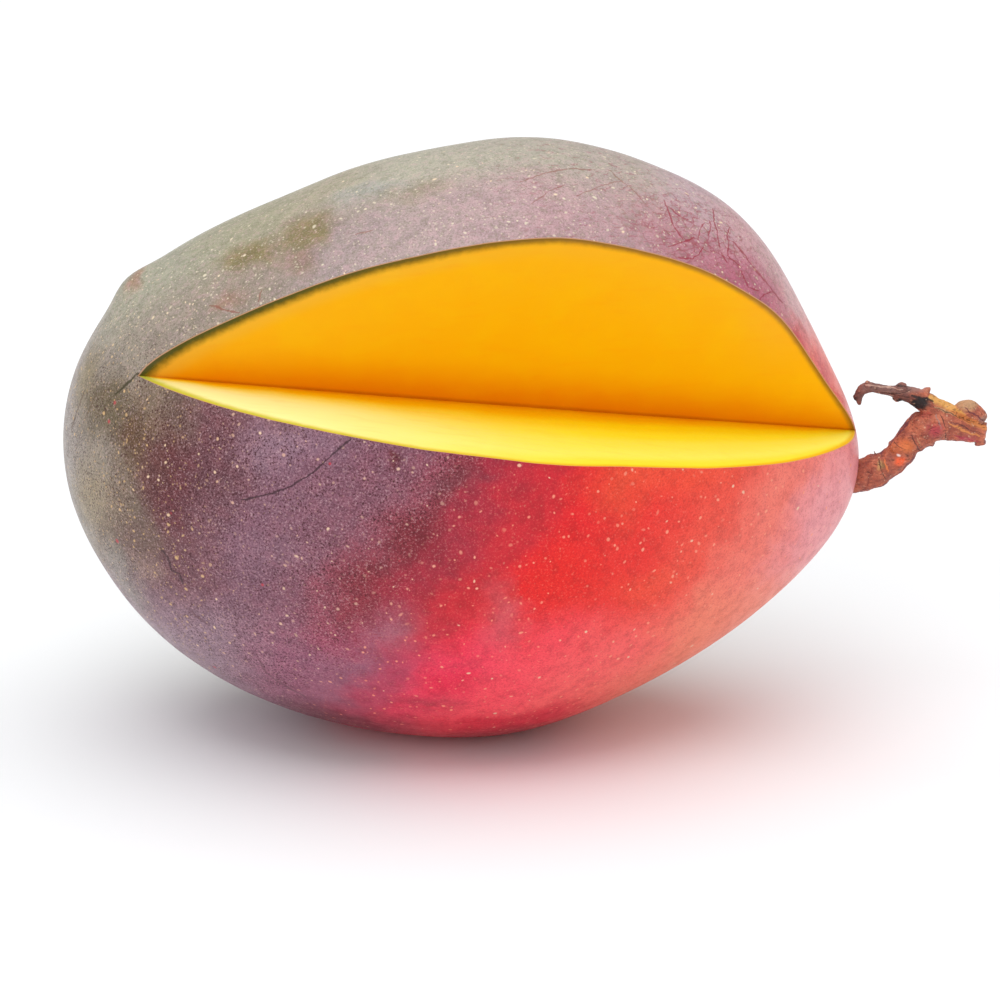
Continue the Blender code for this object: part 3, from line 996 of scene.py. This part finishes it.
barkLook = {
    "palette": {
        "redBrown": "b0563e", "umberRed": "8e4033", "blush": "d67c5c", "flame": "ff6a38",
        "rust": "d06c34", "crimson": "b8384a", "roseRed": "cc5852", "bareWood": "eeb05c",
        "pinkTan": "a88078", "crotchShade": "1c0e10", "tan": "c89a70", "ash": "98796e",
        "greyMauve": "a87c84", "darkTip": "2c1818", "olive": "9a7a48", "paintedGlint": "fff0ea",
        "groove": "54241e", "twig": "6e4843", "ember": "f08448", "straw": "d0a868",
        "amberWood": "e08c4c", "paleTwig": "c8a090", "edge": "74303a", "crack": "4c2018",
        "ridge": "d8a88a", "fleck": "e0b494", "pit": "2a1414", "ridgeHighlight": "e0a080",
    },
    "flecks": (0.7, 0.16, 0.5),
    "thin": 0.02,
    "patches": (
        ((62.5, 0, -7.2), (4, 4, 2.6), 0.2, 0.6, "umberRed"),
        ((70.3, -2, -1.2), (1.8, 3, 1.6), 0.1, 0.7, "rust"),
        ((69.1, -2, -3.6), (1.5, 3, 1.2), 0.25, 0.95, "flame"),
        ((68, -2, -1.6), (2.4, 3, 1.4), 0.1, 0.6, "rust"),
        ((66.4, -2, -4.2), (0.8, 2, 1), 0.1, 0.8, "olive"),
        ((74.3, -2, 1.6), (2.2, 3, 1.7), 0.2, 0.8, "crimson"),
        ((74.8, -2, 3.6), (1.6, 3, 1), 0.2, 0.7, "blush"),
        ((73, -2, 3.9), (1.5, 3, 1), 0.1, 0.7, "roseRed"),
        ((79, 0, 1.5), (3.4, 3, 1.6), 0.1, 0.5, "redBrown"),
        ((66.7, 0, 8), (5.5, 3, 1.4), 0.4, 0.85, "pinkTan"),
        ((71.2, 0, 7.9), (3, 3, 0.9), 0.2, 0.7, "pinkTan"),
        # painted shade: black in the crotch where the twig leaves the limb
        ((72.2, 0, 5.7), (1.9, 3.5, 1.6), 0.55, 0.98, "crotchShade"),
        ((69.6, 0, 6.2), (2.2, 3, 0.9), 0.3, 0.85, "crotchShade"),
        ((79.5, 0, 5.3), (2.2, 3, 1.5), 0.5, 0.9, "tan"),
        ((82, 0, 3), (1.2, 3, 1), 0.3, 0.8, "ash"),
        ((82.9, 0, 0.4), (1, 3, 2.4), 0.2, 0.85, "greyMauve"),
        ((79.5, -2, 0), (2.6, 3, 1), 0.1, 0.6, "crimson"),
        # a painted highlight: a small white glint on the stalk
        ((68.75, -3, -2.5), (0.42, 2, 0.42), 0.4, 0.95, "paintedGlint"),
        ((66.2, 0, 7.6), (6.6, 6, 2.6), 0.5, 0.75, "twig"),
        ((62, 0, 6.4), (1.8, 4, 2), 0.3, 0.8, "twig"),
        ((71.3, 0, 5.7), (1.6, 4, 1.3), 0.4, 0.95, "crotchShade"),
        ((69.8, -2, -0.9), (1.5, 3, 1.5), 0.2, 0.75, "ember"),
        ((65.8, -2, -4.2), (0.5, 3, 1.1), 0.2, 0.7, "straw"),
        ((61.7, 0, 6.2), (0.8, 2, 0.7), 0.3, 0.95, "darkTip"),
        ((62.7, 0, 5.1), (0.9, 2, 0.7), 0.3, 0.95, "darkTip"),
        ((65.2, 0, -2.6), (0.6, 1, 0.8), 0.3, 0.9, "darkTip"),
        ((60, 0, -7.8), (1.6, 4, 3.4), 0.2, 0.85, "darkTip"),
    ),
    # creases, painted shade along the stalk's outline and in the crotch, and strips of bare wood:
    # width and colour, then the points along it, each to the right and up from the fruit's middle
    "strips": (
        (0.95, "bareWood", (73.6, 6.6), (79, 3.8)),
        (0.8, "amberWood", (76.6, 4.4), (82.6, 1.6)),
        (0.35, "tan", (74.4, 5.2), (77.6, 3.6)),
        (0.2, "paleTwig", (63.5, 8.5), (69.4, 8)),
        # painted shade in the crotch and along the twig's underside
        (0.3, "crotchShade", (66.2, 6.7), (68.7, 5.9)),
        (0.5, "crotchShade", (68.6, 6.1), (71.4, 4.6)),
        (0.45, "crotchShade", (70.6, 6.9), (74, 6.1)),
        (0.16, "groove", (64.2, 7.7), (71, 6.6)),
        (0.12, "groove", (73.4, 5.6), (79.8, 2.6)),
        (0.12, "groove", (76, 3.2), (82.4, 0.6)),
        (0.16, "groove", (75.3, 4), (76.1, 1.6)),
        (0.14, "groove", (76.1, 1.6), (76.2, -0.8)),
        (0.3, "redBrown", (76.9, 1.2), (77, -0.6)),
        (0.2, "pinkTan", (74.6, 4), (75.4, 1.6)),
        (0.24, "ember", (66.6, -3.2), (67.2, -5.2)),
        (0.3, "umberRed", (64.6, -4.6), (64, -7.4)),
        (0.3, "redBrown", (72.8, 0.8), (74.4, 3.2)),
        (0.34, "amberWood", (76.6, 2.6), (81.4, 0.4)),
        (0.3, "crimson", (77.4, 0.6), (81.4, -0.6)),
        (0.2, "groove", (70.7, 0.7), (71.4, -0.8), (72.4, -2.2)),
        (0.14, "tan", (71.6, 0.4), (72.3, -1)),
        (0.18, "groove", (65.6, -3.1), (66.1, -5)),
        (0.16, "groove", (66.1, -5), (67, -6.6)),
        (0.14, "groove", (68, -0.6), (69.6, -1.6)),
        (0.12, "darkTip", (64, 6.9), (70, 7.6)),
        (0.12, "darkTip", (67.4, 8.6), (71.6, 8.2)),
        # painted shade: dark lines along the stalk's lower and upper outline
        (0.3, "edge", (61.5, -9.1), (64.9, -8.6), (67.6, -7), (69.8, -5.1), (71.7, -2.6),
         (75.6, -0.5)),
        (0.26, "edge", (75.6, -0.5), (81.6, -1.4)),
        (0.26, "edge", (66, -2.7), (68, -0.3), (71, 3.3)),
        (0.2, "edge", (79, 5), (82.4, 2.6)),
    ),
}


def makeBarkMaterial():
    made, tree, shader = newMaterial("mangoBark", Roughness=0.6)
    palette = barkLook["palette"]
    place = placeInMillimetres(tree)
    loose = wander(place, 0.9, 1.0, 5.0)
    lumps = noiseOf(place, 0.8, 5.0, Roughness=0.65)
    colour = blend(ease(lumps, 0.35, 0.65), palette["umberRed"], palette["blush"])
    colour = blend(ease(noiseOf(place, 2.2, 3.0), 0.4, 0.6, 0.0, 0.5), colour, palette["redBrown"])
    colour = paintPatches(loose, colour, barkLook["patches"], palette)
    # the strips run across the whole thickness of the stem
    pressed = vectorMaths("MULTIPLY", loose, (1.0, barkLook["thin"], 1.0))
    for width, name, *points in barkLook["strips"]:
        ends = [(x, 0.0, z) for x, z in points]
        for start, end in zip(ends, ends[1:]):
            mask = times(useGroup(scratch, pressed, start, end, width)[0], 0.9)
            colour = blend(mask, colour, palette[name])
    lines = stretched(wander(place, 0.7, 0.9), (0.8, 2.6, 3.4), 38)
    lines = noiseOf(lines, 1.0, 5.0, Roughness=0.7)
    colour = blend(ease(lines, 0.47, 0.33, 0.0, 0.7), colour, palette["crack"], "MULTIPLY")
    colour = blend(ease(lines, 0.58, 0.72, 0.0, 0.5), colour, palette["ridge"])
    flecks = useGroup(specks, place, *barkLook["flecks"])["Mask"]
    colour = blend(times(flecks, 0.6), colour, palette["fleck"])
    hollow = addNode(tree, "NewGeometry", {}).outputs["Pointiness"]
    # painted shade in the hollows and painted highlight on the ridges, by how pointed the surface is
    colour = blend(ease(hollow, 0.49, 0.44, 0.0, 0.7), colour, palette["pit"])
    colour = blend(ease(hollow, 0.52, 0.58, 0.0, 0.3), colour, palette["ridgeHighlight"])
    rough = ease(lumps, 0.3, 0.7, 0.42, 0.75)
    finish(shader, colour, rough, plus(lines, times(lumps, 0.8)), 0.7, 0.3)
    return made


fork = makeStem()
fork.data.materials.clear()
fork.data.materials.append(makeBarkMaterial())
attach(fork, "root")
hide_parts("mango_stem")
print("stem ready")

stage = {
    "floorSize": 6.0,
    "floorColour": (0.93, 0.945, 0.96),
    "skyStrength": 0.48,
    # each light's strength, its spread, and its tilt from straight above and turn about Z
    "lamps": {"overhead": (1.6, radians(72), radians(0), radians(0)),
              "front": (0.85, radians(60), radians(50), radians(-28))},
}


def makeStage():
    deselectAll()
    bpy.ops.mesh.primitive_plane_add(size=stage["floorSize"], location=(0, 0, 0))
    floor = newest("floor")
    paper, tree, shader = newMaterial("paper", Base_Color=(*stage["floorColour"], 1.0), Roughness=0.9)
    floor.data.materials.append(paper)
    world = bpy.data.worlds.new("white room")
    bpy.context.scene.world = world
    world.use_nodes = True
    background = world.node_tree.nodes["Background"]
    background.inputs["Color"].default_value = (1, 1, 1, 1)
    background.inputs["Strength"].default_value = stage["skyStrength"]
    for name, (strength, spread, tilt, turn) in stage["lamps"].items():
        sun = bpy.data.lights.new(name, "SUN")
        sun.energy = strength
        sun.angle = spread
        placed(name, sun).rotation_euler = Euler((tilt, 0, turn))
    bpy.context.scene.view_settings.view_transform = "Standard"


makeStage()
print("stage ready")
